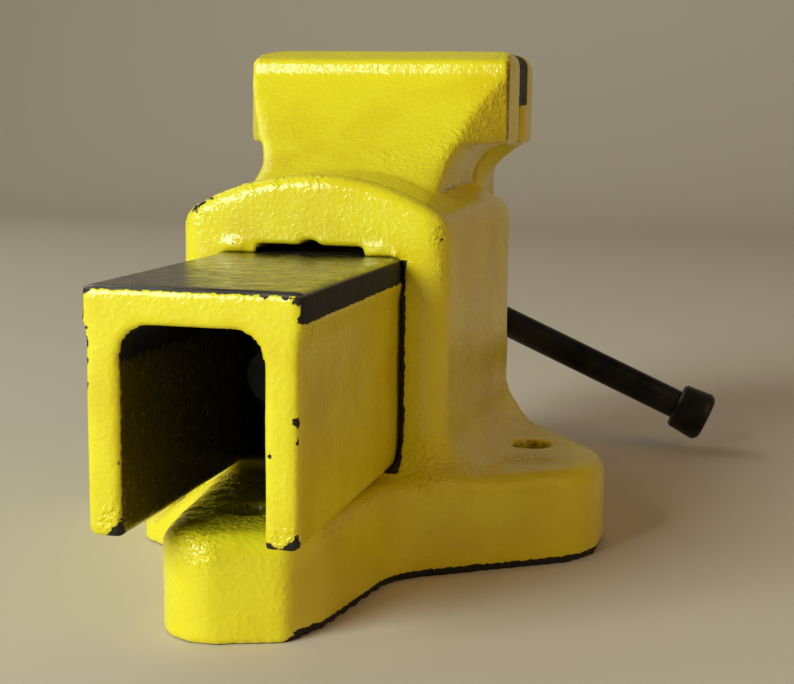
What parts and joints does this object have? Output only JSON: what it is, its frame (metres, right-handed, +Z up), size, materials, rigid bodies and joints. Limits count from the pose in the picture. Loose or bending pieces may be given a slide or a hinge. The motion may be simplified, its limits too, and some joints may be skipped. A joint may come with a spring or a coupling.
{
  "type": "bench vise",
  "caption": "Small mechanic's bench vise that bolts down through a three-lug base; a screw and sliding handle bar drive the front jaw along its square beam.",
  "frame": {"origin": "centre of the circle of the three bolt holes, on the face that sits on the bench", "axes": "X across the jaws, -Y towards the handle (the jaw opens along -Y), +Y to the rear end of the beam, +Z up from the bench"},
  "size_m": [0.168, 0.2564, 0.133],
  "materials": {
    "yellow_enamel": "glossy brushed yellow enamel over rough grey cast iron, chipped to dark iron at the edges, machined slideway left bare",
    "black_steel": "hardened jaw plates, dark oxide finish, crossed grooves on the working face",
    "dark_steel": "aged dark turned steel, lightly oiled",
    "zinc_steel": "dull zinc-plated fasteners and washers",
    "spring_steel": "drawn spring wire, oiled",
    "grey_iron": "machined grey cast iron"
  },
  "bodies": {
    "body": {"body_casting": "yellow_enamel", "rear_jaw_plate": "black_steel", "rear_plate_screw_right": "dark_steel", "rear_plate_screw_left": "dark_steel", "main_nut": "grey_iron", "nut_bolt": "zinc_steel", "nut_washer": "zinc_steel"},
    "jaw": {"sliding_jaw": "yellow_enamel", "front_jaw_plate": "black_steel", "front_plate_screw_right": "dark_steel", "front_plate_screw_left": "dark_steel", "thrust_washer": "zinc_steel", "spring_washer": "zinc_steel"},
    "screw": {"main_screw": "dark_steel", "screw_spring": "spring_steel", "retaining_washer": "zinc_steel", "split_pin": "zinc_steel"},
    "handle": {"handle_bar": "dark_steel", "handle_knob_lower": "dark_steel", "handle_knob_upper": "dark_steel"}
  },
  "joints": [
    {"name": "jaw_slide", "type": "slide", "parent": "body", "child": "jaw", "axis": [0, -1, 0], "range_m": [0, 0.085]},
    {"name": "screw_turn", "type": "hinge", "parent": "jaw", "child": "screw", "pos_m": [0, 0, 0.0525], "axis": [0, -1, 0], "range_deg": [0, 6120.5]},
    {"name": "handle_slide", "type": "slide", "parent": "screw", "child": "handle", "axis": [0.9157, 0, 0.4019], "range_m": [0, 0.0787]}
  ],
  "couplings": [
    {"joint": "screw_turn", "follows": "jaw_slide", "rad_per_m": 1256.6}
  ]
}
